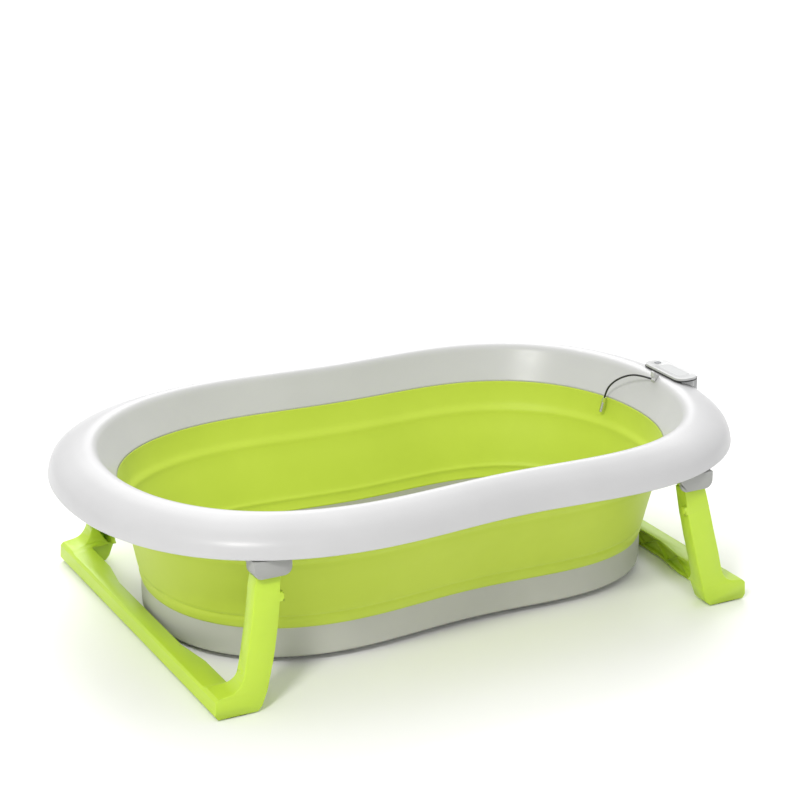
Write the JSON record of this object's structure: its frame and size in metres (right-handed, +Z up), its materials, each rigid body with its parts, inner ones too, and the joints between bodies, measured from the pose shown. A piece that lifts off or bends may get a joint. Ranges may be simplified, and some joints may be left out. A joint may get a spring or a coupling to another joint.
{
  "type": "baby bathtub",
  "caption": "Foldable baby bathtub: wide grey rim, green folding band, grey base pan, fold-in green leg frames and a clip-on bath thermometer.",
  "frame": {"origin": "on the floor under the middle of the tub", "axes": "+X along the tub towards the thermometer end, +Y across it, +Z up"},
  "size_m": [0.82, 0.531, 0.2126],
  "materials": {
    "rim_plastic": "fine satin moulded polypropylene, light grey",
    "pan_plastic": "satin moulded polypropylene, mid grey",
    "bracket_plastic": "satin moulded plastic, mid grey",
    "band_rubber": "soft matte thermoplastic rubber, lime green",
    "plug_rubber": "soft matte rubber, lime green",
    "leg_plastic": "satin moulded plastic, lime green",
    "pad_rubber": "dark non-slip rubber",
    "steel": "plain steel",
    "thermo_plastic": "satin grey plastic",
    "gasket_rubber": "black rubber",
    "display_window": "clear glossy cover, reads light grey",
    "display_panel": "liquid-crystal panel",
    "board": "green circuit board",
    "button_rubber": "grey rubber",
    "cable_rubber": "black cable sheath",
    "probe_steel": "polished steel"
  },
  "bodies": {
    "tub": {"rim": "rim_plastic", "folding_band": "band_rubber", "hinge_bracket_front_left": "bracket_plastic", "hinge_bracket_back_left": "bracket_plastic", "hinge_bracket_front_right": "bracket_plastic", "hinge_bracket_back_right": "bracket_plastic", "hinge_pins": "steel", "bracket_screws": "steel", "thermo_clip": "thermo_plastic", "thermo_gasket": "gasket_rubber", "thermo_housing": "thermo_plastic", "thermo_window": "display_window", "thermo_display": "display_panel", "thermo_board": "board", "thermo_switch": "steel", "thermo_battery": "steel", "probe_cable": "cable_rubber", "probe_tip": "probe_steel", "cable_fin": "rim_plastic"},
    "pan": {"base_pan": "pan_plastic", "base_pads": "pad_rubber", "drain_fitting": "pan_plastic"},
    "plug": {"drain_plug": "plug_rubber"},
    "leg_left": {"leg_frame_left": "leg_plastic", "foot_pads_left": "pad_rubber"},
    "leg_right": {"leg_frame_right": "leg_plastic", "foot_pads_right": "pad_rubber"},
    "button": {"thermo_button": "button_rubber"}
  },
  "joints": [
    {"name": "leg_left_fold", "type": "hinge", "parent": "tub", "child": "leg_left", "pos_m": [-0.266, 0, 0.158], "axis": [0, -1, 0], "range_deg": [0, 92]},
    {"name": "leg_right_fold", "type": "hinge", "parent": "tub", "child": "leg_right", "pos_m": [0.266, 0, 0.158], "axis": [0, 1, 0], "range_deg": [0, 92]},
    {"name": "pan_lift", "type": "slide", "parent": "tub", "child": "pan", "axis": [0, 0, 1], "range_m": [0, 0.126], "deforming": ["folding_band"]},
    {"name": "plug_lift", "type": "slide", "parent": "pan", "child": "plug", "axis": [0, 0, 1], "range_m": [0, 0.06]},
    {"name": "button_press", "type": "slide", "parent": "tub", "child": "button", "axis": [0, 0, -1], "range_m": [0, 0.0004], "stiffness_N_per_m": 500, "springref_m": -0.0005}
  ],
  "couplings": [
    {"joint": "leg_right_fold", "follows": "leg_left_fold", "ratio": 1},
    {"joint": "pan_lift", "follows": "leg_left_fold", "m_per_rad": 0.0784}
  ]
}
